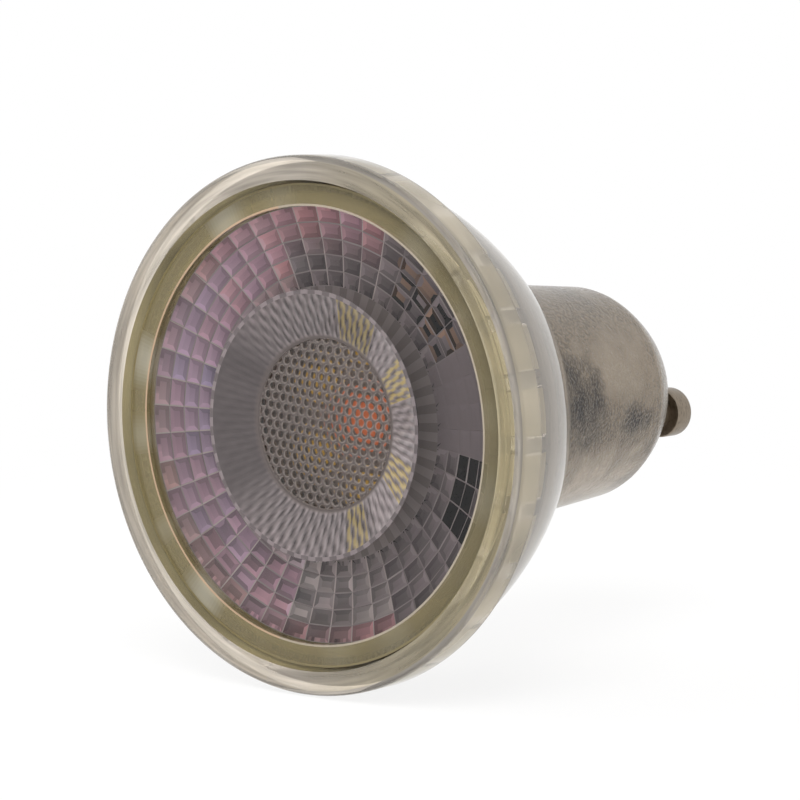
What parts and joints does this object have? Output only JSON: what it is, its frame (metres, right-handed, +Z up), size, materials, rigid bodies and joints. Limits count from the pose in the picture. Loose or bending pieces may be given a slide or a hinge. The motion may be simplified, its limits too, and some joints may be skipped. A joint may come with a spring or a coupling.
{
  "type": "spotlight bulb",
  "caption": "Reflector spotlight bulb with a pressed-glass body, a faceted clear lens over an LED board and a two-pin twist-lock cap.",
  "frame": {"origin": "midway between the two contact pins, on the plane under their heads where the holder grips them", "axes": "+Y along the lamp's axis from the lens towards the pins, +Z up, the lens faces -Y; the line through the pins is turned 30 degrees about the axis from X, as the lamp lies in the picture"},
  "size_m": [0.05, 0.054, 0.05],
  "materials": {
    "glass": "gloss",
    "lens": "gloss",
    "bond": "satin",
    "white_board": "satin",
    "package": "satin",
    "phosphor_yellow": "satin",
    "phosphor_orange": "satin",
    "black": "satin",
    "tan": "satin",
    "driver_board": "satin",
    "ferrite": "matte",
    "copper": "gloss",
    "film": "gloss",
    "can": "gloss",
    "resistor": "satin",
    "wire_red": "satin",
    "wire_black": "satin",
    "tin": "satin",
    "pin": "satin"
  },
  "bodies": {
    "root": {"glass_envelope": "glass", "front_lens": "lens", "lens_bond": "bond", "board_bond": "bond", "led_board": "white_board", "centre_led_package": "package", "centre_led_phosphor": "phosphor_orange", "driver_chip": "black", "chip_capacitor_1": "tan", "chip_capacitor_2": "tan", "driver_board": "driver_board", "inductor_core": "ferrite", "inductor_winding": "copper", "smoothing_capacitor": "can", "film_capacitor": "film", "bridge_rectifier": "black", "freewheel_diode": "black", "sense_resistor": "black", "fuse_resistor": "resistor", "led_wire_1": "wire_red", "led_wire_2": "wire_black", "solder_1": "tin", "solder_2": "tin", "contact_pin_1": "pin", "contact_pin_2": "pin", "pin_lead_1": "tin", "pin_lead_2": "tin", "led_package_1": "package", "led_phosphor_1": "phosphor_yellow", "led_package_2": "package", "led_phosphor_2": "phosphor_yellow", "led_package_3": "package", "led_phosphor_3": "phosphor_yellow", "led_package_4": "package", "led_phosphor_4": "phosphor_yellow", "led_package_5": "package", "led_phosphor_5": "phosphor_yellow", "led_package_6": "package", "led_phosphor_6": "phosphor_yellow"}
  },
  "joints": []
}
